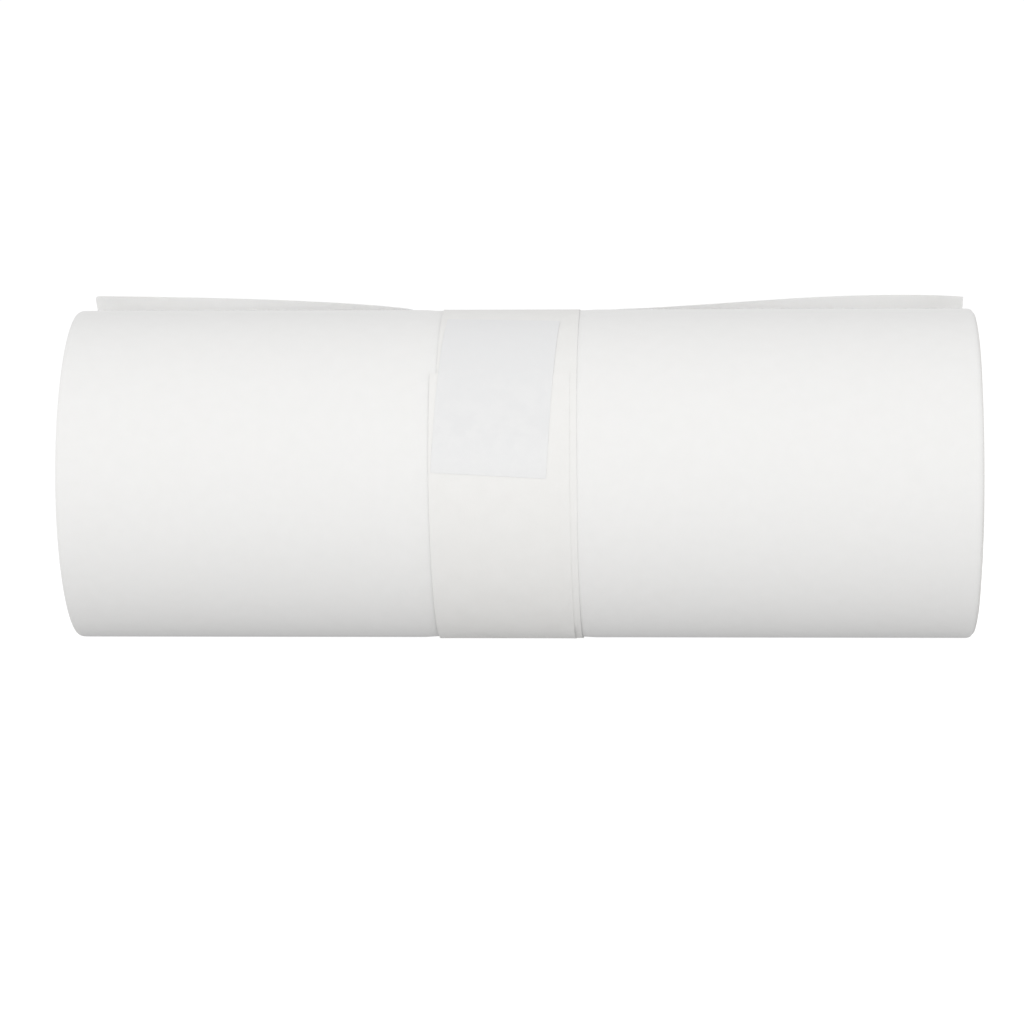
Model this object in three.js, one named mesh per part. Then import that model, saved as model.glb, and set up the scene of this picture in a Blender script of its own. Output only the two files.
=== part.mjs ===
// A short roll of backdrop paper: a cardboard core, the paper wound on it, the paper's free end,
// which springs away from the roll behind the top, and a paper band round the middle whose end is
// stuck down with a wide tape.
// Millimetres. The roll's axis runs along X, the front is -Y and up is +Z. Angles round the axis
// start at the top and grow towards the back, so 90 degrees is the back and 270 the front.
import * as THREE from 'three';

// The roll
const PAPER_WIDTH = 400;
const PACK_RADIUS = 72.9;
const SHEET = 0.2;
const AIR = 0.1;
const STEP_DEGREES = 6;
const FACET_START = 3;
const ROUND_STEPS = 360 / STEP_DEGREES;

// The core, which stands one millimetre out of the paper at each end, and the tape that holds the
// paper's first edge to it
const CORE_BORE_RADIUS = 26;
const CORE_RADIUS = 31;
const CORE_LENGTH = 402;
const START_TAPE_LENGTH = 380;
const START_TAPE_FROM = -15;
const START_TAPE_TO = 21;
const BULGE_MARGIN = 6;

// The last turn leaves the roll at the back. Its free end is the flap.
const LEAVES_AT = 123;
const LEAVING_GAP_DEGREES = 0.2;
const PRESSED_EDGE_AT = 15;
const SPRUNG_EDGE_AT = 25;
const FLAP_LIFT = 16;
const FLAP_LIFT_REACH = 40;
const FLAP_LIFT_POWER = 2;
const FLAP_STEPS_ACROSS = 40;
const FLAP_SHIFT = -1.4;
const SHIFT_DEGREES = 720;

// The band: one strip wound nearly one and a half turns, opposite to the paper
const BAND_WIDTH = 61;
const BAND_RADIUS = 73.8;
const BAND_END_AT = 303;
const BAND_DEGREES = 504;
const BAND_END_X = -9.8;
const BAND_SHIFT_PER_TURN = 3;

// The tape over the band's end
const TAPE_WIDTH = 50;
const TAPE_LENGTH = 88;
const TAPE_THICKNESS = 0.1;
const TAPE_RADIUS = 74.7;
const TAPE_AT = 302;
const TAPE_X = -11.9;
const TAPE_TILT = 3;
const TAPE_STEPS = 12;

const radians = THREE.MathUtils.degToRad;

/** A closed sheet: a flat strip, wide along X, in which `place` moves every point.
    It gets the point's place across, its share of the length and its height in the sheet. */
function bentSheet(width, length, thickness, acrossSteps, alongSteps, place) {
  const geometry = new THREE.BoxGeometry(width, length, thickness, acrossSteps, alongSteps, 1);
  const points = geometry.attributes.position;
  for (let i = 0; i < points.count; i += 1) {
    const across = points.getX(i);
    const along = points.getY(i) / length + 0.5;
    const height = points.getZ(i) + thickness / 2;
    points.setXYZ(i, ...place(across, along, height));
  }
  geometry.computeVertexNormals();
  return geometry;
}

/** The point at an angle round the axis, a radius from it, and a place along it. */
function roundAxis(x, angle, radius) {
  return [x, radius * Math.sin(radians(angle)), radius * Math.cos(radians(angle))];
}

/** An outline, extruded along X about the middle of the roll. Its own X points up, and its Y back. */
function alongAxis(shape, length, steps) {
  const geometry = new THREE.ExtrudeGeometry(shape, {
    depth: length,
    steps: 1,
    curveSegments: steps,
    bevelEnabled: false,
  });
  geometry.translate(0, 0, -length / 2);
  geometry.rotateY(-Math.PI / 2);
  return geometry;
}

function arc(path, radius, from, to) {
  path.absarc(0, 0, radius, radians(from), radians(to));
  return path;
}

function fullCircle(path, radius) {
  return arc(path, radius, FACET_START, FACET_START + 360);
}

/** How far the web has wandered along the axis, at an angle counted back from its free end. */
function webShift(angle) {
  return FLAP_SHIFT * (1 - (angle - SPRUNG_EDGE_AT) / SHIFT_DEGREES);
}

/** The inner radius of the web's last turns, which grows by a sheet and its air in each turn. */
function webRadius(angle) {
  const turns = (LEAVES_AT + 360 - angle) / 360;
  return PACK_RADIUS + AIR + turns * (SHEET + AIR);
}

function coreTube() {
  const ring = fullCircle(new THREE.Shape(), CORE_RADIUS);
  ring.holes.push(fullCircle(new THREE.Path(), CORE_BORE_RADIUS));
  return alongAxis(ring, CORE_LENGTH, ROUND_STEPS);
}

function coreStartTape() {
  const degrees = START_TAPE_TO - START_TAPE_FROM;
  const place = (across, along, height) =>
    roundAxis(across, START_TAPE_FROM + degrees * along, CORE_RADIUS + AIR + height);
  return bentSheet(START_TAPE_LENGTH, 1, SHEET, 1, degrees / STEP_DEGREES, place);
}

/** All the tight turns as one ring. Its bore bulges over the tape on the core. */
function woundPaper() {
  const ring = fullCircle(new THREE.Shape(), PACK_RADIUS);
  const bore = new THREE.Path();
  const bulgeFrom = START_TAPE_FROM - BULGE_MARGIN;
  const bulgeTo = START_TAPE_TO + BULGE_MARGIN;
  arc(bore, CORE_RADIUS + SHEET + 2 * AIR, bulgeFrom, bulgeTo);
  arc(bore, CORE_RADIUS + AIR, bulgeTo, bulgeFrom + 360);
  bore.closePath();
  ring.holes.push(bore);
  return alongAxis(ring, PAPER_WIDTH, ROUND_STEPS);
}

function outerTurn() {
  const place = (across, along, height) => {
    const angle = LEAVES_AT + 360 * along;
    return roundAxis(across + webShift(angle), angle, webRadius(angle) + height);
  };
  return bentSheet(PAPER_WIDTH, 1, SHEET, 1, ROUND_STEPS, place);
}

/** How far the flap's free edge stands off the roll. The band holds it down in the middle, and one
    step of the sheet further on each side. */
function flapLift(x) {
  const bandMiddle = BAND_END_X + BAND_SHIFT_PER_TURN / 2;
  const heldDown = BAND_WIDTH / 2 + PAPER_WIDTH / FLAP_STEPS_ACROSS;
  const fromBand = Math.abs(x - bandMiddle) - heldDown;
  return fromBand > 0 ? FLAP_LIFT * (1 - Math.exp(-fromBand / FLAP_LIFT_REACH)) : 0;
}

/** The rest of the last turn, from where it leaves the roll to the paper's free edge. */
function tailFlap() {
  const start = LEAVES_AT - LEAVING_GAP_DEGREES;
  const place = (across, along, height) => {
    const lift = flapLift(across + FLAP_SHIFT);
    const edgeAt = PRESSED_EDGE_AT + (SPRUNG_EDGE_AT - PRESSED_EDGE_AT) * (lift / FLAP_LIFT);
    const angle = THREE.MathUtils.lerp(edgeAt, start, along);
    const stand = lift * (1 - along) ** FLAP_LIFT_POWER;
    return roundAxis(across + webShift(angle), angle, webRadius(angle) + stand + height);
  };
  const steps = (LEAVES_AT - PRESSED_EDGE_AT) / STEP_DEGREES;
  return bentSheet(PAPER_WIDTH, 1, SHEET, FLAP_STEPS_ACROSS, steps, place);
}

function paperBand() {
  const from = BAND_END_AT - BAND_DEGREES;
  const place = (across, along, height) => {
    const angle = from + BAND_DEGREES * along;
    const turns = (angle - from) / 360;
    const x = BAND_END_X + BAND_SHIFT_PER_TURN * ((BAND_END_AT - angle) / 360) + across;
    return roundAxis(x, angle, BAND_RADIUS + turns * (SHEET + AIR) + height);
  };
  return bentSheet(BAND_WIDTH, 1, SHEET, 1, BAND_DEGREES / STEP_DEGREES, place);
}

/** The tape lies a little askew: it is turned while flat, then bent round the roll. */
function closureTape() {
  const tilt = radians(TAPE_TILT);
  const place = (across, along, height) => {
    const up = (along - 0.5) * TAPE_LENGTH;
    const x = TAPE_X + across * Math.cos(tilt) + up * Math.sin(tilt);
    const round = up * Math.cos(tilt) - across * Math.sin(tilt);
    const angle = TAPE_AT + THREE.MathUtils.radToDeg(round / TAPE_RADIUS);
    return roundAxis(x, angle, TAPE_RADIUS + height);
  };
  return bentSheet(TAPE_WIDTH, TAPE_LENGTH, TAPE_THICKNESS, 1, TAPE_STEPS, place);
}

function material(color, roughness) {
  return new THREE.MeshStandardMaterial({ color, roughness, metalness: 0 });
}

const backdropPaper = material('#f4f4f2', 0.9);
const bandPaper = material('#efefec', 0.85);
const frostedTape = material('#eceef2', 0.45);
const cardboard = material('#b59a78', 0.95);
const brownTape = material('#c9a56b', 0.5);

const parts = [
  ['core_tube', coreTube(), cardboard],
  ['core_start_tape', coreStartTape(), brownTape],
  ['wound_paper', woundPaper(), backdropPaper],
  ['outer_turn', outerTurn(), backdropPaper],
  ['tail_flap', tailFlap(), backdropPaper],
  ['paper_band', paperBand(), bandPaper],
  ['closure_tape', closureTape(), frostedTape],
];

const roll = new THREE.Group();
for (const [name, geometry, finish] of parts) {
  const mesh = new THREE.Mesh(geometry, finish);
  mesh.name = name;
  roll.add(mesh);
}

// The origin is the middle of the underside of the whole roll's box.
const box = new THREE.Box3().setFromObject(roll, true);
const middle = box.getCenter(new THREE.Vector3());
roll.position.set(-middle.x, -middle.y, -box.min.z);

const part = new THREE.Group();
part.add(roll);
export default part;
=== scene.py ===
# %% [markdown]
# # A roll of backdrop paper
# A short, fat roll of white backdrop paper: a cardboard core, the paper wound on it, and a paper
# band round the middle whose end is stuck down with frosted tape. The paper's free end springs
# away from the roll behind the top. The imported frame says where everything goes, so it is loaded
# first.

# %% Load the frame
from math import cos, degrees, exp, pi, radians, sin, sqrt

import bmesh
import bpy
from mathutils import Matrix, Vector, noise


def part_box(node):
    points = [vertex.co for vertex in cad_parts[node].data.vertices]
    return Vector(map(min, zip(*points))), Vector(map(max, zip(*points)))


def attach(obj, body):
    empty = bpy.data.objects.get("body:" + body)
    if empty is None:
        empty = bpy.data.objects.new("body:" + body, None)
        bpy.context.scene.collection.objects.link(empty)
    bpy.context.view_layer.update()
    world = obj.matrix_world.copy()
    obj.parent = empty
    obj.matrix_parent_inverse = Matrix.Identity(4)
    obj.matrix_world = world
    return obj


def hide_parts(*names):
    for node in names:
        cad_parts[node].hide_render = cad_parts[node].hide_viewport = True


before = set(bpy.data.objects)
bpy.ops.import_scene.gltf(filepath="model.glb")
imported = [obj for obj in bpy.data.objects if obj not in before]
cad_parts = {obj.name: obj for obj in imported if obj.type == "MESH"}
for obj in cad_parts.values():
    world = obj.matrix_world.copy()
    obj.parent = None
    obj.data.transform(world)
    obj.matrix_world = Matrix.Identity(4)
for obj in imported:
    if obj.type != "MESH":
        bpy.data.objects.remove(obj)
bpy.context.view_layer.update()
MM = 0.001

pack_low, pack_high = (Vector(corner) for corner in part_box("wound_paper"))
core_low, core_high = (Vector(corner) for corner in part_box("core_tube"))
MIDDLE = (pack_low + pack_high) / 2
PACK_RADIUS = (pack_high.z - pack_low.z) / 2
PAPER_WIDTH = pack_high.x - pack_low.x
CORE_RADIUS = (core_high.z - core_low.z) / 2
CORE_LENGTH = core_high.x - core_low.x
print(f"paper {PAPER_WIDTH / MM:.0f} mm wide, pack radius {PACK_RADIUS / MM:.1f} mm")

# %% [markdown]
# ## The camera
# A long lens, level and just below the axis. It stands a little to the right of the roll's middle,
# so the right rim comes out a touch larger than the left one, and it is turned slightly to the
# left, which puts the roll back in the middle of the frame.

# %% Make the camera
LENS_MM = 131.0
CAMERA_FROM_MIDDLE = Vector((0.0770, -1.678, -0.0174))
TURNED_LEFT = radians(2.845)

camera = bpy.data.objects.new("camera", bpy.data.cameras.new("camera"))
camera.data.lens = LENS_MM
camera.location = MIDDLE + CAMERA_FROM_MIDDLE
camera.rotation_euler = (pi / 2, 0, TURNED_LEFT)
bpy.context.collection.objects.link(camera)
bpy.context.scene.camera = camera
bpy.context.scene.view_settings.view_transform = "Standard"
print("camera at", [round(c, 3) for c in camera.location])

# %% [markdown]
# ## Maths on shader sockets
# A material is a sum of masks and patterns. It reads best as ordinary arithmetic, so one small
# class holds a node's output and turns + - * / into Math nodes. Its node() method makes any other
# node from its type, its settings and what goes into its sockets.

# %% A socket that does arithmetic
class Wire:
    """A node's output. Arithmetic on it adds Math nodes, and node() adds any other node."""

    def __init__(self, tree, socket=None):
        self.tree = tree
        self.socket = socket

    def node(self, kind, settings=None, sockets=None, out=0):
        made = self.tree.nodes.new("ShaderNode" + kind)
        for name, value in (settings or {}).items():
            if name == "stops":
                set_stops(made.color_ramp, value)
            else:
                setattr(made, name, value)
        for key, value in (sockets or {}).items():
            if isinstance(value, Wire):
                self.tree.links.new(value.socket, made.inputs[key])
            else:
                made.inputs[key].default_value = value
        return Wire(self.tree, made.outputs[out] if made.outputs else None)

    def maths(self, operation, *values):
        return self.node("Math", {"operation": operation}, dict(enumerate(values)))

    def __add__(self, other):
        return self.maths("ADD", self, other)

    def __sub__(self, other):
        return self.maths("SUBTRACT", self, other)

    def __rsub__(self, other):
        return self.maths("SUBTRACT", other, self)

    def __mul__(self, other):
        return self.maths("MULTIPLY", self, other)

    def __truediv__(self, other):
        return self.maths("DIVIDE", self, other)

    def __rtruediv__(self, other):
        return self.maths("DIVIDE", other, self)

    __radd__ = __add__
    __rmul__ = __mul__


def set_stops(ramp, stops):
    """Puts (place, grey) stops on a colour ramp, which starts with two of its own."""
    while len(ramp.elements) < len(stops):
        ramp.elements.new(0.5)
    for element, (place, value) in zip(ramp.elements, stops):
        element.position = place
        element.color = (value, value, value, 1)


def mixed(share, low, high):
    """The colour low where share is 0, and high where it is 1. Each is a Wire or four numbers."""
    return share.node("Mix", {"data_type": "RGBA"}, {0: share, 6: low, 7: high}, out=2)


def new_material(name):
    """An empty material and a Wire to start its nodes from."""
    material = bpy.data.materials.new(name)
    material.use_nodes = True
    material.node_tree.nodes.clear()
    return material, Wire(material.node_tree)


def finish_material(material, start, sockets):
    """Ends a material in one Principled shader with these sockets."""
    shader = start.node("BsdfPrincipled", {}, sockets)
    start.node("OutputMaterial", {}, {"Surface": shader})
    print("material", material.name, "has", len(material.node_tree.nodes), "nodes")
    return material


print("shader helpers ready")

# %% [markdown]
# ## The finish of paper
# Backdrop paper is thick, uncoated and dead matt. What makes it look like paper and not plaster is
# its formation: pulp settles in soft clouds a few millimetres across, and fine fibres lie in all
# directions. Both are noise on Object coordinates. The clouds move the colour by a percent or two,
# and the fibres go to a very shallow bump.

# %% Paper
FIBRES_PER_METRE = 2200.0
FLECKS_PER_METRE = 420.0
FIBRE_DEPTH = 0.1 * MM
SOFT_CLOUDS = [(0.3, 0.0), (0.7, 1.0)]


def paper_sockets(start, bright, dull, cloud_size, fibre_bump):
    """A matt paper whose colour drifts between bright and dull in clouds of that size."""
    place = start.node("TexCoord", out=3)
    clouds = start.node("TexNoise", {}, {"Vector": place, "Scale": 1 / cloud_size, "Detail": 3.0})
    fibres = start.node("TexNoise", {}, {
        "Vector": place, "Scale": FIBRES_PER_METRE, "Detail": 2.0, "Roughness": 0.7,
    })
    flecks = start.node("TexVoronoi", {"feature": "DISTANCE_TO_EDGE"}, {
        "Vector": place, "Scale": FLECKS_PER_METRE,
    })
    share = clouds * 0.75 + fibres * 0.25
    soft = share.node("ValToRGB", {"stops": SOFT_CLOUDS}, {0: share})
    height = fibres + clouds * 0.6 + flecks * 0.3
    bump = start.node("Bump", {}, {
        "Height": height, "Strength": fibre_bump, "Distance": FIBRE_DEPTH,
    })
    return {
        "Base Color": mixed(soft, dull, bright),
        "Roughness": 0.86 + clouds * 0.1,
        "Specular IOR Level": 0.25,
        "Normal": bump,
    }


print("paper has", round(FIBRES_PER_METRE * MM, 1), "fibres to the millimetre")

# %% [markdown]
# The web's free end is a single sheet with light on both sides of it, and some comes through, so it
# glows where the roll's other turns don't. It is a second shader with subsurface light, mixed in
# along the sheet's own UV map as the end leaves the roll. Its colour is a lighter copy of the
# wound paper's, which is painted light on the free end. Away from the middle, the free end is
# painted greyer: painted shade that darkens its two ends.

# %% The finish of the web
WOUND_BRIGHT = (0.866, 0.864, 0.861, 1)
WOUND_DULL = (0.852, 0.85, 0.846, 1)
# The free end's colours are a lighter copy of the wound paper's: painted light on the single sheet.
SINGLE_PAINTED_LIGHT_BRIGHT = (0.975, 0.973, 0.967, 1)
SINGLE_PAINTED_LIGHT_DULL = (0.96, 0.958, 0.952, 1)
WEB_CLOUD = 6 * MM
WEB_BUMP = 0.22
LIGHT_GOES = 0.6 * MM
FREE_STOPS = [(0.885, 0.0), (0.965, 1.0)]
# Painted shade: these stops and this grey darken the free end towards both of its ends.
FLAP_END_SHADE_STOPS = [(0.4, 0.0), (0.6, 0.5), (0.8, 1.0)]
FLAP_END_PAINTED_SHADE = (0.7, 0.7, 0.7, 1)
FLAP_END_SHADE_MOST = 0.66


def web_finish():
    material, start = new_material("backdrop_paper")
    flat = start.node("UVMap", {"uv_map": "flat"})
    off_middle = flat.node("SeparateXYZ", {}, {0: flat}, out=0) - 0.5
    along = flat.node("SeparateXYZ", {}, {0: flat}, out=1)
    off_centre = off_middle.maths("ABSOLUTE", off_middle) * 2
    painted_end_shade = off_centre.node("ValToRGB", {"stops": FLAP_END_SHADE_STOPS}, {0: off_centre}) * FLAP_END_SHADE_MOST
    free = along.node("ValToRGB", {"stops": FREE_STOPS}, {0: along})
    wound = paper_sockets(start, WOUND_BRIGHT, WOUND_DULL, WEB_CLOUD, WEB_BUMP)
    # The free end gets the same paper in lighter colours, which is painted light, with subsurface
    # light added.
    single_painted_light = paper_sockets(start, SINGLE_PAINTED_LIGHT_BRIGHT, SINGLE_PAINTED_LIGHT_DULL, WEB_CLOUD, WEB_BUMP)
    # Painted shade: the free end's colour turns greyer towards both ends of the roll.
    single_painted_light["Base Color"] = mixed(painted_end_shade, single_painted_light["Base Color"], FLAP_END_PAINTED_SHADE)
    single_painted_light["Subsurface Weight"] = 1.0
    single_painted_light["Subsurface Radius"] = (1.0, 0.99, 0.96)
    single_painted_light["Subsurface Scale"] = LIGHT_GOES
    wound_shader = start.node("BsdfPrincipled", {}, wound)
    single_painted_light_shader = start.node("BsdfPrincipled", {}, single_painted_light)
    surface = start.node("MixShader", {}, {0: free, 1: wound_shader, 2: single_painted_light_shader})
    start.node("OutputMaterial", {}, {"Surface": surface})
    return material


backdrop_paper = web_finish()
print("backdrop paper ready")

# %% [markdown]
# ## Bending a sheet
# The web, the band and the tape are all flat sheets bent round the same axis. Each starts as a flat
# grid, and a formula says for every point how far across and along the sheet it is, and so which
# angle, radius and place along the axis it gets. Solidify then gives the sheet its thickness, and
# edges over 35 degrees are kept sharp, so a cut edge of paper stays crisp.
# Angles start at the top and grow towards the back, so 90 degrees is the back and 270 the front.

# %% A sheet bent round the axis
SHARP = radians(35)


def round_axis(x, angle, radius):
    """A point in the frame, from its place along the axis, its angle in degrees and its radius."""
    turn = radians(angle)
    return MIDDLE + Vector((x, radius * sin(turn), radius * cos(turn)))


def add_object(name, bm, material, body):
    """Turns a bmesh into a finished piece: an object at the origin, riding on its body."""
    mesh = bpy.data.meshes.new(name)
    bm.to_mesh(mesh)
    bm.free()
    mesh.shade_smooth()
    mesh.set_sharp_from_angle(angle=SHARP)
    mesh.materials.append(material)
    piece = bpy.data.objects.new(name, mesh)
    bpy.context.collection.objects.link(piece)
    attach(piece, body)
    print(name, "has", len(mesh.polygons), "faces")
    return piece


def bent_sheet(columns, rows, thickness, place):
    """A grid whose points go where place(across, along) says, thickened outwards. The two shares
    run from 0 to 1, and stay on the sheet as its UV map."""
    bm = bmesh.new()
    bm.loops.layers.uv.new("flat")
    bmesh.ops.create_grid(bm, x_segments=columns, y_segments=rows, size=0.5, calc_uvs=True)
    for vert in bm.verts:
        vert.co = place(vert.co.x + 0.5, vert.co.y + 0.5)
    bmesh.ops.recalc_face_normals(bm, faces=bm.faces)
    bmesh.ops.solidify(bm, geom=bm.faces[:], thickness=-thickness)
    return bm


def sheet_length(place, steps=400):
    """The length along a sheet's middle line, which is the length it was cut to."""
    points = [place(0.5, k / steps) for k in range(steps + 1)]
    return sum((b - a).length for a, b in zip(points, points[1:]))


def smooth_step(value):
    """0 below 0, 1 above 1, and an S between them."""
    held = min(max(value, 0.0), 1.0)
    return held * held * (3 - 2 * held)


print("the axis runs", round(MIDDLE.z / MM, 1), "mm above the floor")

# %% [markdown]
# ## The loose turns and the flap
# The paper's outer turns are a little loose, and the free end has sprung away from the roll behind
# the top on both sides of the band. It is all one sheet: it goes round twice as a tight spiral,
# leaves the roll low at the back, and rises off it more and more steeply. The band holds it down in
# the middle, so the lift grows with the distance from the band, and differs left and right. The
# last turn is slack too: it stands off the pack a little, except where the band squeezes it.

# %% How the free end lifts
BAND_LEFT = -40.4 * MM
BAND_RIGHT = 25.6 * MM
RISE = 13 * MM

LEFT_LIFT = 15.4 * MM
LEFT_HEAD_START = 14 * MM
LEFT_REACH = 54 * MM
KICK_FROM = 55 * MM
KICK_SLOPE = 0.012

RIGHT_LIFT_AT_BAND = 5.4 * MM
RIGHT_GROWTH = 9.8 * MM
CREST_AT = 140 * MM
DIP_FROM = 148 * MM
DIP_WIDTH = 25 * MM
DIP_DEPTH = 1.5 * MM


def left_lift(away):
    """The left side rises fast beside the band, levels out, and kicks up at its corner."""
    levelling = 1 - exp(-(away + LEFT_HEAD_START) / LEFT_REACH)
    return LEFT_LIFT * levelling + KICK_SLOPE * max(0.0, away - KICK_FROM)


def right_lift(away):
    """The right side rises in a long S to a crest, and dips a little at its corner."""
    dip = max(0.0, away - DIP_FROM) / DIP_WIDTH
    return RIGHT_LIFT_AT_BAND + RIGHT_GROWTH * smooth_step(away / CREST_AT) - DIP_DEPTH * dip**2


def edge_lift(x):
    """How far the free edge stands off the roll at a place along it."""
    if x < BAND_LEFT:
        return left_lift(BAND_LEFT - x) * smooth_step((BAND_LEFT - x) / RISE)
    if x > BAND_RIGHT:
        return right_lift(x - BAND_RIGHT) * smooth_step((x - BAND_RIGHT) / RISE)
    return 0.0


left_corner = edge_lift(-PAPER_WIDTH / 2)
right_corner = edge_lift(PAPER_WIDTH / 2)
print("lift at the corners", round(left_corner / MM, 1), "and", round(right_corner / MM, 1), "mm")

# %% [markdown]
# The rows of the sheet run from its buried inner end to its free edge. They are given by angle,
# because the roll is round. The radius grows by one pitch a turn, a little more than the paper's
# thickness, so the turns never touch, and the sheet wanders sideways as it comes out of the roll.

# %% How the loose turns wind
LEAVES_AT = 123
LOOSE_DEGREES = 720
PRESSED_EDGE_AT = 16
SPRUNG_EDGE_AT = 22.5
FULL_LIFT = 14.5 * MM
FLAP_CURL = 2.6
FLAP_SHIFT = -1.5 * MM
SHEET = 0.2 * MM
PITCH = 0.22 * MM
LOOSE_GAP = 0.1 * MM
SLACK = 0.42 * MM
SLACK_AT_BAND = 0.3
SLACK_DEGREES = 30
SQUEEZE_REACH = 8 * MM


def web_shift(angle):
    """The web wanders to the left as it comes out of the roll."""
    return FLAP_SHIFT * (1 - (angle - SPRUNG_EDGE_AT) / (LOOSE_DEGREES + 360))


def web_radius(angle):
    """The inside of the sheet, one pitch further out for each turn."""
    return PACK_RADIUS + LOOSE_GAP + PITCH * (LEAVES_AT + 360 - angle) / 360


def last_turn_slack(x, angle):
    """How far the last turn stands off the pack: nothing under the band, all of it away from it."""
    from_band = max(BAND_LEFT - x, x - BAND_RIGHT)
    grown = smooth_step((LEAVES_AT + 360 - angle) / SLACK_DEGREES)
    return SLACK * smooth_step(SLACK_AT_BAND + from_band / SQUEEZE_REACH) * grown


print("the web leaves the roll at a radius of", round(web_radius(LEAVES_AT) / MM, 1), "mm")

# %% [markdown]
# The columns are crowded towards the two long edges, where the paper is softest: it is rolled in a
# little at the rims, and its top left corner is rounded off.

# %% Build the loose turns and the flap
RIM_DROOP = 0.5 * MM
RIM_REACH = 1.6 * MM
CORNER = 2.6 * MM
WEB_COLUMNS = 130
WEB_ROWS = 330
CROWDING = 0.8


def crowded(share):
    """Moves evenly spaced columns towards both long edges."""
    return share - CROWDING * sin(2 * pi * share) / (2 * pi)


def corner_cut(from_corner):
    """How much the rounded corner takes off the free edge, at a distance from the left rim."""
    if from_corner >= CORNER:
        return 0.0
    return CORNER - sqrt(CORNER**2 - (CORNER - from_corner) ** 2)


def web_place(across, along):
    x = (crowded(across) - 0.5) * PAPER_WIDTH
    lift = edge_lift(x + FLAP_SHIFT)
    from_corner = x + PAPER_WIDTH / 2
    edge_at = PRESSED_EDGE_AT + (SPRUNG_EDGE_AT - PRESSED_EDGE_AT) * lift / FULL_LIFT
    edge_at += degrees(corner_cut(from_corner) / (PACK_RADIUS + lift))
    start_at = LEAVES_AT + LOOSE_DEGREES
    flap_share = (LEAVES_AT - PRESSED_EDGE_AT) / (start_at - PRESSED_EDGE_AT)
    if along < 1 - flap_share:
        angle = start_at - (start_at - LEAVES_AT) * along / (1 - flap_share)
        stand = 0.0
    else:
        free = (along - 1 + flap_share) / flap_share
        angle = LEAVES_AT - (LEAVES_AT - edge_at) * free
        stand = lift * free**FLAP_CURL
    rim = min(from_corner, PAPER_WIDTH - from_corner)
    droop = RIM_DROOP * max(0.0, 1 - rim / RIM_REACH) ** 2 if stand < RIM_DROOP else 0.0
    stand += last_turn_slack(x + web_shift(angle), angle)
    return round_axis(x + web_shift(angle), angle, web_radius(angle) + stand - droop)


web = bent_sheet(WEB_COLUMNS, WEB_ROWS, SHEET, web_place)
loose_turns = add_object("loose_turns_and_flap", web, backdrop_paper, "roll")
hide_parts("outer_turn", "tail_flap")
loose_length = sheet_length(web_place)
print("loose end of the web is", round(loose_length / MM), "mm long")

# %% [markdown]
# ## The wound pack
# Under the loose turns the paper is wound hard, some two hundred turns of it. From the side it is
# one white cylinder, but its two ends show the edges of all the turns: fine rings that are never
# quite level, because each turn tracks a little to the left or right of the last. A profile line
# with one point for every second turn, each stepped in or out by a small wander, is spun round the
# axis. The rings then get slow waves round the roll, as a pack has where it has been handled. At
# the right end the pack stands slightly proud of the loose turns, and its rim is worn round.

# %% Build the wound pack
PACK_TURNS = 206
RINGS = PACK_TURNS // 2
ROUND_STEPS = 192
BORE = CORE_RADIUS + 0.1 * MM
PACK_WANDER = 0.35 * MM
RING_STEP = 0.12 * MM
EDGE_ROUND = {-1: 0.5 * MM, 1: 1.7 * MM}
ROUND_POINTS = 7
ROUND_DEPTH = 0.6
PROUD = {-1: 0.0, 1: 0.1 * MM}
PACK_GAP = 0.08 * MM
SOLID_RADIUS = PACK_RADIUS - (LOOSE_DEGREES / 360 - 1) * PITCH - PACK_GAP


def ring_offset(side, ring):
    """How far a ring stands out of the end face: a slow drift and a fine step of its own."""
    drift = noise.noise(Vector((ring * 0.06, side * 7.3, 1.7)))
    step = noise.noise(Vector((ring * 0.83, side * 3.1, 9.2)))
    return PACK_WANDER * drift + RING_STEP * step


def ring_radius(ring):
    return BORE + (SOLID_RADIUS - BORE) * ring / RINGS


def end_points(side):
    """One end face's profile, from the bore to the rim. Side is -1 for left and 1 for right."""
    half = PAPER_WIDTH / 2 + PROUD[side]
    worn = EDGE_ROUND[side]
    inner = [k for k in range(RINGS) if ring_radius(k) < SOLID_RADIUS - worn]
    points = [Vector((side * (half + ring_offset(side, k)), 0, ring_radius(k))) for k in inner]
    for k in range(ROUND_POINTS):
        turn = radians(90 * k / (ROUND_POINTS - 1))
        out = half - worn * (1 - cos(turn))
        radius = SOLID_RADIUS - ROUND_DEPTH * worn * (1 - sin(turn))
        points.append(Vector((side * out, 0, radius)))
    return points


def spun(points):
    """A closed outline in the plane of the axis, spun once round it."""
    bm = bmesh.new()
    verts = [bm.verts.new(MIDDLE + point) for point in points]
    for one, other in zip(verts, verts[1:] + verts[:1]):
        bm.edges.new((one, other))
    bmesh.ops.spin(
        bm, geom=bm.verts[:] + bm.edges[:], cent=MIDDLE, axis=(1, 0, 0), dvec=(0, 0, 0),
        angle=2 * pi, steps=ROUND_STEPS, use_merge=True,
    )
    bmesh.ops.recalc_face_normals(bm, faces=bm.faces)
    return bm


WAVE_HEIGHT = 0.5 * MM
WAVES_PER_METRE = 22
WAVES_FADE_OVER = 4 * MM


def wave_ends(bm):
    """Moves the end faces' points in and out in slow waves that fade towards the rim."""
    for vert in bm.verts:
        out = vert.co - MIDDLE
        radius = sqrt(out.y**2 + out.z**2)
        inside = smooth_step((SOLID_RADIUS - radius) / WAVES_FADE_OVER)
        wave = noise.noise(Vector((out.x, out.y * WAVES_PER_METRE, out.z * WAVES_PER_METRE)))
        vert.co.x += WAVE_HEIGHT * wave * inside


pack = spun(end_points(-1) + end_points(1)[::-1])
wave_ends(pack)
print("the pack's ends have", RINGS, "rings each")

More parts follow.
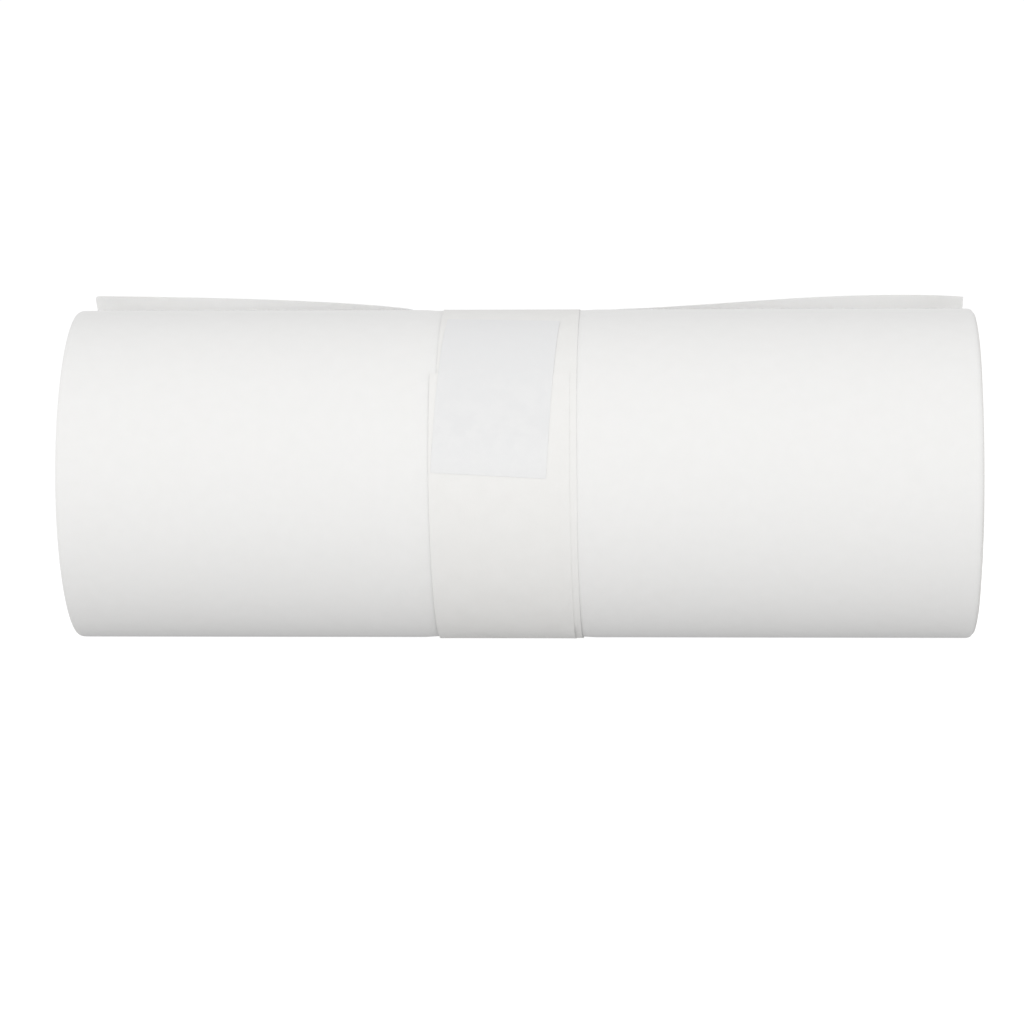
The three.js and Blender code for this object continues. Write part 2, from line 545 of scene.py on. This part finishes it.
# %% [markdown]
# The cut edges of the turns get their own finish. Each turn's edge is a line a fifth of a
# millimetre wide, a bit lighter or darker than its neighbours, so the pattern is one-dimensional
# noise along the radius. The pack's round side is under the loose turns, so it needs no other one.

# %% The finish of the pack
EDGE_BRIGHT = (0.86, 0.857, 0.84, 1)
EDGE_DULL = (0.66, 0.655, 0.635, 1)
RING_WOBBLE = 0.6 * MM


def radius_in(start, place):
    """The distance from the roll's axis, in metres."""
    middle = start.node("VectorMath", {"operation": "SUBTRACT"}, {0: place, 1: MIDDLE})
    flat = middle.node("VectorMath", {"operation": "MULTIPLY"}, {0: middle, 1: (0, 1, 1)})
    return flat.node("VectorMath", {"operation": "LENGTH"}, {0: flat}, out=1)


def pack_finish():
    material, start = new_material("paper_edges")
    place = start.node("TexCoord", out=3)
    radius = radius_in(start, place)
    wobble = start.node("TexNoise", {}, {"Vector": place, "Scale": 30.0, "Detail": 1.0})
    turns = (radius + wobble * RING_WOBBLE) * (PACK_TURNS / (PACK_RADIUS - BORE))
    lines = turns.node("TexNoise", {"noise_dimensions": "1D"}, {"W": turns * 1.3, "Detail": 2.0})
    groups = turns.node("TexNoise", {"noise_dimensions": "1D"}, {"W": turns * 0.09, "Detail": 1.0})
    share = lines * 0.6 + groups * 0.4
    soft = share.node("ValToRGB", {"stops": [(0.32, 0.0), (0.62, 1.0)]}, {0: share})
    bump = start.node("Bump", {}, {"Height": lines, "Strength": 0.5, "Distance": 0.15 * MM})
    return finish_material(material, start, {
        "Base Color": mixed(soft, EDGE_DULL, EDGE_BRIGHT),
        "Roughness": 0.92,
        "Specular IOR Level": 0.2,
        "Normal": bump,
    })


wound_pack = add_object("wound_pack", pack, pack_finish(), "roll")
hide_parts("wound_paper")

# %% [markdown]
# ## The core
# A background paper core is wound from strips of grey-brown board, and the plies differ a little
# in tone. The finish has noise stretched along the roll for the fibres, a few dark specks, and
# one-dimensional noise along the radius, so the end of the tube shows its plies as rings.

# %% Cardboard
PLY = 0.5 * MM
SPECK_BROWN = (0.16, 0.11, 0.07, 1)


def board_finish(name, light, dark):
    """Grey-brown board: plies of two tones, long pale and dark fibres, small specks, no shine."""
    material, start = new_material(name)
    place = start.node("TexCoord", out=3)
    along = start.node("Mapping", {}, {"Vector": place, "Scale": (220, 900, 900)})
    fibres = start.node("TexNoise", {}, {"Vector": along, "Scale": 1.0, "Detail": 4.0})
    specks = start.node("TexNoise", {}, {"Vector": place, "Scale": 900.0, "Detail": 1.0})
    dark_specks = specks.node("ValToRGB", {"stops": [(0.66, 0.0), (0.74, 1.0)]}, {0: specks})
    plies = radius_in(start, place) / PLY
    tones = plies.node("TexNoise", {"noise_dimensions": "1D"}, {"W": plies * 1.1, "Detail": 1.0})
    tone = tones.node("ValToRGB", {"stops": [(0.35, 0.0), (0.62, 1.0)]}, {0: tones})
    ground = mixed(fibres * 0.55 + tone * 0.45, dark, light)
    bump = start.node("Bump", {}, {"Height": fibres, "Strength": 0.5, "Distance": 0.2 * MM})
    return finish_material(material, start, {
        "Base Color": mixed(dark_specks * 0.5, ground, SPECK_BROWN),
        "Roughness": 0.93,
        "Specular IOR Level": 0.2,
        "Normal": bump,
    })


core_board = board_finish("core_board", (0.56, 0.43, 0.29, 1), (0.36, 0.26, 0.165, 1))
inner_board = board_finish("inner_ply_board", (0.5, 0.39, 0.27, 1), (0.33, 0.24, 0.155, 1))

# %% [markdown]
# The wall is spun from a profile with a shallow groove at each ply and a slightly furred edge. It
# stops short of the bore, where the innermost ply goes.

# %% Build the core's wall
CORE_WALL = 5 * MM
INNER_PLY = 0.4 * MM
PLY_GROOVE = 0.12 * MM
FUR = 0.05 * MM
BOARD_BORE = CORE_RADIUS - CORE_WALL + INNER_PLY


def board_end(side):
    """The end of the board, with a shallow groove between each pair of plies."""
    count = round((CORE_RADIUS - BOARD_BORE) / PLY)
    points = []
    for k in range(2 * count + 1):
        radius = BOARD_BORE + (CORE_RADIUS - BOARD_BORE) * k / (2 * count)
        fur = FUR * noise.noise(Vector((k * 1.7, side, 4.4)))
        out = CORE_LENGTH / 2 - (PLY_GROOVE if k % 2 == 0 else 0) + fur
        points.append(Vector((side * out, 0, radius)))
    return points


core_wall = spun(board_end(-1) + board_end(1)[::-1])
core_piece = add_object("core_board_tube", core_wall, core_board, "roll")
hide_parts("core_tube")

# %% [markdown]
# Inside the bore, the innermost ply runs round in a screw line, with a fine gap where its edges
# meet. It is a real strip, bent into a helix. It starts and ends outside the tube, and two planes
# cut it off just inside the ends.

# %% Build the innermost ply
PLY_WIDTH = 74 * MM
PLY_GAP = 0.7 * MM
PLY_TURNS = 7
PLY_COLUMNS = 4
PLY_ROWS_A_TURN = 64
PLY_INSET = 0.3 * MM


def ply_place(across, along):
    """A strip wound as a screw: each turn moves it on by its width and the gap."""
    turns = PLY_TURNS * along
    start = -CORE_LENGTH / 2 - PLY_WIDTH
    x = start + (PLY_WIDTH + PLY_GAP) * turns + PLY_WIDTH * across
    return round_axis(x, 360 * turns, CORE_RADIUS - CORE_WALL)


ply = bent_sheet(PLY_COLUMNS, PLY_ROWS_A_TURN * PLY_TURNS, INNER_PLY, ply_place)
for side in (-1, 1):
    cut_at = MIDDLE + Vector((side * (CORE_LENGTH / 2 - PLY_INSET), 0, 0))
    cut = bmesh.ops.bisect_plane(
        ply, geom=ply.verts[:] + ply.edges[:] + ply.faces[:], dist=1e-6,
        plane_co=cut_at, plane_no=(side, 0, 0), clear_outer=True,
    )
    rim = [edge for edge in cut["geom_cut"] if isinstance(edge, bmesh.types.BMEdge)]
    bmesh.ops.holes_fill(ply, edges=rim)
add_object("core_inner_ply", ply, inner_board, "roll")

# %% [markdown]
# The tape that holds the paper's first edge to the core lies buried between core and paper. Its
# shape in the frame is right as it is, so it only gets a finish: brown paper tape, finely creped.

# %% The start tape
def start_tape_finish():
    material, start = new_material("brown_paper_tape")
    place = start.node("TexCoord", out=3)
    crepe = start.node("TexWave", {"bands_direction": "X"}, {
        "Vector": place, "Scale": 400.0, "Distortion": 6.0,
    })
    bump = start.node("Bump", {}, {"Height": crepe, "Strength": 0.3, "Distance": 0.1 * MM})
    return finish_material(material, start, {
        "Base Color": mixed(crepe * 0.5 + 0.25, (0.42, 0.28, 0.13, 1), (0.6, 0.42, 0.22, 1)),
        "Roughness": 0.6,
        "Normal": bump,
    })


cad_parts["core_start_tape"].material_slots[0].material = start_tape_finish()

# %% [markdown]
# ## The band
# One strip of white paper, a little duller than the backdrop paper, wound nearly one and a half
# turns and pulled tight. It was put on slightly askew, so the second layer lies a few millimetres
# to the left of the first and leaves a narrow step along the right side. Its long edges don't lie
# quite flat, and near the underside the right edge is a little crumpled.

# %% Build the band
BAND_WIDTH = 61 * MM
BAND_PAPER = 0.15 * MM
BAND_END_AT = 305.5
BAND_DEGREES = 505
BAND_START_AT = BAND_END_AT - BAND_DEGREES
BAND_END_X = -8.7 * MM
BAND_SHIFT = 3.0 * MM
BAND_WANDER = 0.25 * MM
BAND_RADIUS = PACK_RADIUS + 0.62 * MM
BAND_PITCH = 0.2 * MM
EDGE_LIFT = 0.1 * MM
END_CURL = 0.06 * MM
CURL_DEGREES = 4
CRUMPLE = 0.9 * MM
CRUMPLE_AT = 197
CRUMPLE_DEGREES = 7
CRUMPLED_SHARE = 0.14
BAND_SAG = 0.4 * MM
SAG_AT = 188
SAG_DEGREES = 32
BAND_COLUMNS = 44
BAND_ROWS = 300


def band_inside(angle):
    """The inside radius of the strip, one pitch further out after each turn. It sags a little
    under the roll."""
    sag = BAND_SAG * exp(-((angle % 360 - SAG_AT) / SAG_DEGREES) ** 2)
    return BAND_RADIUS + BAND_PITCH * (angle - BAND_START_AT) / 360 + sag


def crumple(across, angle):
    """A small crease in the right edge, near the underside."""
    on_right = smooth_step((across - 1 + CRUMPLED_SHARE) / CRUMPLED_SHARE)
    near = exp(-((angle - CRUMPLE_AT) / CRUMPLE_DEGREES) ** 2) * on_right
    return CRUMPLE * near * (0.6 + 0.4 * noise.noise(Vector((angle * 0.5, across * 30, 8.8))))


def band_place(across, along):
    angle = BAND_START_AT + BAND_DEGREES * along
    x = BAND_END_X + BAND_SHIFT * (BAND_END_AT - angle) / 360 + (across - 0.5) * BAND_WIDTH
    x += BAND_WANDER * noise.noise(Vector((angle * 0.03, 0.3, 5.1)))
    on_edge = abs(2 * across - 1) ** 10
    waves = 0.5 + 0.5 * noise.noise(Vector((angle * 0.09, across * 2, 2.2)))
    lift = EDGE_LIFT * on_edge * waves
    end_curl = END_CURL * smooth_step(1 - (BAND_END_AT - angle) / CURL_DEGREES)
    return round_axis(x, angle, band_inside(angle) + lift + end_curl + crumple(across, angle))


BAND_BRIGHT = (0.861, 0.856, 0.847, 1)
BAND_DULL = (0.842, 0.837, 0.827, 1)
BAND_CLOUD = 9 * MM
BAND_BUMP = 0.3


def band_finish():
    """The same paper as the web's, but warmer, with larger clouds, and with no shine at all."""
    material, start = new_material("band_paper")
    sockets = paper_sockets(start, BAND_BRIGHT, BAND_DULL, BAND_CLOUD, BAND_BUMP)
    sockets["Specular IOR Level"] = 0.0
    return finish_material(material, start, sockets)


band = bent_sheet(BAND_COLUMNS, BAND_ROWS, BAND_PAPER, band_place)
band_strip = add_object("band_strip", band, band_finish(), "band")
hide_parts("paper_band")
band_length = sheet_length(band_place)
print("band strip is", round(band_length / MM), "mm long")

# %% [markdown]
# ## The tape on the band
# Wide frosted packing tape, half clear and slightly blue, stuck on a few degrees askew. Its lower
# part lies on the band's outer layer. Its upper part bridges the step at the band's end, and lies
# on the layer below.

# %% Build the tape
TAPE_WIDTH = 50 * MM
TAPE_LENGTH = 87.5 * MM
TAPE_FILM = 0.06 * MM
TAPE_AT = 302.4
TAPE_X = -10.75 * MM
TAPE_TILT = radians(3)
TAPE_RADIUS = BAND_RADIUS + 0.6 * MM
TAPE_RIPPLE = 0.04 * MM
TAPE_GAP = 0.12 * MM
TAPE_COLUMNS = 40
TAPE_ROWS = 72
BRIDGE_DEGREES = 4
STEP_LEFT = 0.06 * MM


def tape_rest(angle):
    """The radius the tape lies on: the band's outer layer, and past its end the layer below."""
    top = band_inside(angle) + BAND_PAPER
    over_step = smooth_step((angle - BAND_END_AT) / BRIDGE_DEGREES)
    return top - over_step * (BAND_PITCH - STEP_LEFT)


def tape_place(across, along):
    right = (across - 0.5) * TAPE_WIDTH
    up = (along - 0.5) * TAPE_LENGTH
    x = TAPE_X + right * cos(TAPE_TILT) + up * sin(TAPE_TILT)
    round_way = up * cos(TAPE_TILT) - right * sin(TAPE_TILT)
    angle = TAPE_AT + degrees(round_way / TAPE_RADIUS)
    ripple = TAPE_RIPPLE * noise.noise(Vector((x * 180, angle * 0.22, 3.3)))
    return round_axis(x, angle, tape_rest(angle) + TAPE_GAP + ripple)


tape = bent_sheet(TAPE_COLUMNS, TAPE_ROWS, TAPE_FILM, tape_place)
print("the tape covers", round(degrees(TAPE_LENGTH / TAPE_RADIUS)), "degrees of the roll")

# %% [markdown]
# The tape's glue grips in patches. Where it has gripped, the film is clearer and the white paper
# shows through, so the lower part is mottled with pale patches. Above the step it was not rubbed
# down, and is even. The film is slightly greyer towards the bottom. It is a little see-through
# everywhere, and smoother than paper.

# %% The finish of the tape
FILM_BOTTOM = (0.836, 0.839, 0.847, 1)
FILM_TOP = (0.882, 0.885, 0.893, 1)
FILM_GRIPPED = (0.882, 0.883, 0.887, 1)
PATCH_STOPS = [(0.42, 0.0), (0.6, 1.0)]
RUBBED_STOPS = [(0.56, 1.0), (0.62, 0.0)]


def tape_finish():
    material, start = new_material("frosted_tape")
    place = start.node("TexCoord", out=3)
    flat = start.node("UVMap", {"uv_map": "flat"})
    up = flat.node("SeparateXYZ", {}, {0: flat}, out=1)
    patches = start.node("TexNoise", {}, {"Vector": place, "Scale": 140.0, "Detail": 3.0})
    gripped = patches.node("ValToRGB", {"stops": PATCH_STOPS}, {0: patches})
    grip = gripped * up.node("ValToRGB", {"stops": RUBBED_STOPS}, {0: up})
    film = mixed(up, FILM_BOTTOM, FILM_TOP)
    grain = start.node("TexNoise", {}, {"Vector": place, "Scale": 1600.0, "Detail": 2.0})
    height = grain + patches
    bump = start.node("Bump", {}, {"Height": height, "Strength": 0.25, "Distance": 0.1 * MM})
    return finish_material(material, start, {
        "Base Color": mixed(grip * 0.5, film, FILM_GRIPPED),
        "Roughness": 0.42 + grip * 0.12,
        "Alpha": 0.93,
        "Specular IOR Level": 0.4,
        "Normal": bump,
    })


tape_piece = add_object("frosted_tape", tape, tape_finish(), "band")
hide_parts("closure_tape")

# %% [markdown]
# ## The floor
# A pale floor without an edge in sight. It glows a little, so that it looks white without throwing
# so much light up that the roll's underside loses its shade.

# %% Floor
FLOOR_SIZE = 6.0
FLOOR_SEEN = 0.875
FLOOR_GLOW = 0.415


def floor_finish():
    """A pale table that glows a little, as a lit white table does, and looks white."""
    material, start = new_material("pale_floor")
    seen = start.node("LightPath", out="Is Camera Ray")
    return finish_material(material, start, {
        "Base Color": (0.25, 0.25, 0.25, 1),
        "Roughness": 1.0,
        "Emission Color": (1.0, 1.0, 1.0, 1),
        "Emission Strength": seen * (FLOOR_SEEN - FLOOR_GLOW) + FLOOR_GLOW,
    })


floor_bm = bmesh.new()
bmesh.ops.create_grid(floor_bm, x_segments=1, y_segments=1, size=FLOOR_SIZE)
floor_mesh = bpy.data.meshes.new("floor")
floor_bm.to_mesh(floor_mesh)
floor_bm.free()
floor_mesh.materials.append(floor_finish())
floor = bpy.data.objects.new("floor", floor_mesh)
bpy.context.collection.objects.link(floor)

# %% [markdown]
# ## The light
# A white surround lights everything evenly. Three large soft lights give it direction: a wide one
# in front of the roll, a weak one above that, and one behind that shines through the free end.

# %% Light
SURROUND_SEEN = 1.05
SURROUND_LIGHTS = 0.77
LIGHT_COLOUR = (1.0, 0.995, 0.97)
LIGHTS = [
    ("front", 21, (2.0, 0.52), (-0.1, -2.6, 0.28)),
    ("key", 1.7, (2.0, 1.2), (0.3, -2.4, 1.3)),
    ("back", 11.2, (2.0, 0.8), (0.0, 2.15, 0.75)),
]


def white_surround():
    """An even white world that looks white but lights the roll more softly than that."""
    world = bpy.data.worlds.new("surround")
    bpy.context.scene.world = world
    world.use_nodes = True
    world.node_tree.nodes.clear()
    start = Wire(world.node_tree)
    seen = start.node("LightPath", out="Is Camera Ray")
    strength = seen * (SURROUND_SEEN - SURROUND_LIGHTS) + SURROUND_LIGHTS
    background = start.node("Background", {}, {"Color": (1, 1, 1, 1), "Strength": strength})
    start.node("OutputWorld", {}, {"Surface": background})


def soft_light(name, watts, size, place):
    """A rectangular light of that size, aimed at the roll's middle."""
    light = bpy.data.lights.new(name, "AREA")
    light.shape = "RECTANGLE"
    light.size, light.size_y = size
    light.energy = watts
    light.color = LIGHT_COLOUR
    lamp = bpy.data.objects.new(name, light)
    lamp.location = place
    lamp.rotation_euler = (MIDDLE - Vector(place)).to_track_quat("-Z", "Y").to_euler()
    bpy.context.collection.objects.link(lamp)


white_surround()
for light_row in LIGHTS:
    soft_light(*light_row)
print(len(LIGHTS), "lights set")
